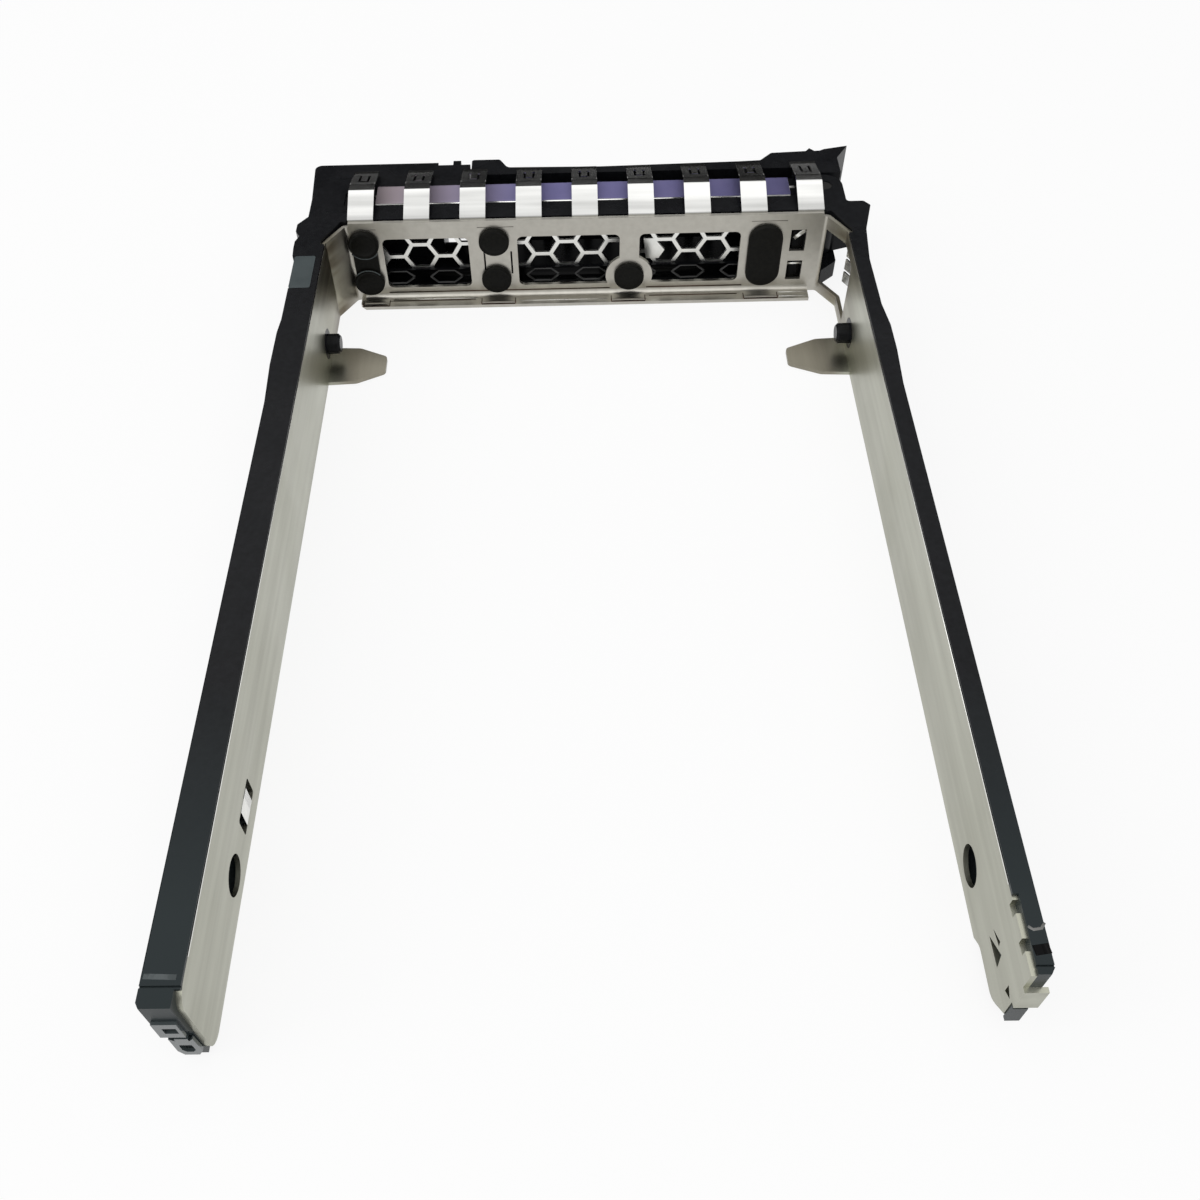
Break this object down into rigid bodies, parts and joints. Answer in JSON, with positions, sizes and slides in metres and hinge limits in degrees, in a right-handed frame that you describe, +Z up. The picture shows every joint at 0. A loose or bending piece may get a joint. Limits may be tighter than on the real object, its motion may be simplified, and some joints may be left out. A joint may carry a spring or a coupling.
{
  "type": "hot swap drive caddy",
  "caption": "Hot swap caddy for a 2.5 inch drive: folded stainless frame, black vented bezel with swing-out handle, sprung grounding fingers and two side rails.",
  "frame": {"origin": "on the centre line, at the rear face of the cross plate and the underside of the frame's bottom flange", "axes": "+Y towards the bezel, -Y along the drive bay, +Z up"},
  "size_m": [0.0782, 0.1224, 0.015],
  "materials": {
    "stainless": "bright folded stainless sheet, fine grain",
    "spring_steel": "polished spring strip",
    "pin_steel": "plain steel pin and wire",
    "black_plastic": "moulded black plastic, fine grain",
    "dark_grey_plastic": "moulded dark grey plastic",
    "rubber": "soft black rubber",
    "smoke_clear": "smoked translucent plastic"
  },
  "bodies": {
    "caddy": {"inner_frame": "stainless", "bezel_body": "black_plastic", "emi_finger_strip": "spring_steel", "side_emi_spring": "spring_steel", "honeycomb_shield": "stainless", "bumper_left": "rubber", "bumper_mid_lower": "rubber", "bumper_mid_upper": "rubber", "bumper_centre": "rubber", "bumper_right": "rubber", "left_runner": "black_plastic", "right_runner": "black_plastic", "handle_pivot_pin": "pin_steel", "left_drive_pin": "black_plastic", "right_drive_pin": "black_plastic", "light_pipe_lower": "smoke_clear", "light_pipe_upper": "smoke_clear", "handle_spring": "pin_steel", "release_spring": "pin_steel"},
    "ejector_handle": {"ejector_handle": "black_plastic"},
    "release_slide": {"release_slide": "dark_grey_plastic"}
  },
  "joints": [
    {"name": "handle_swing", "type": "hinge", "parent": "caddy", "child": "ejector_handle", "pos_m": [0.0333, 0.0066, 0.0065], "axis": [0, 0, -1], "range_deg": [0, 50], "deforming": ["handle_spring"]},
    {"name": "release_travel", "type": "slide", "parent": "caddy", "child": "release_slide", "axis": [-1, 0, 0], "range_m": [0, 0.0014], "stiffness_N_per_m": 20, "springref_m": -0.001, "deforming": ["release_spring"]}
  ]
}
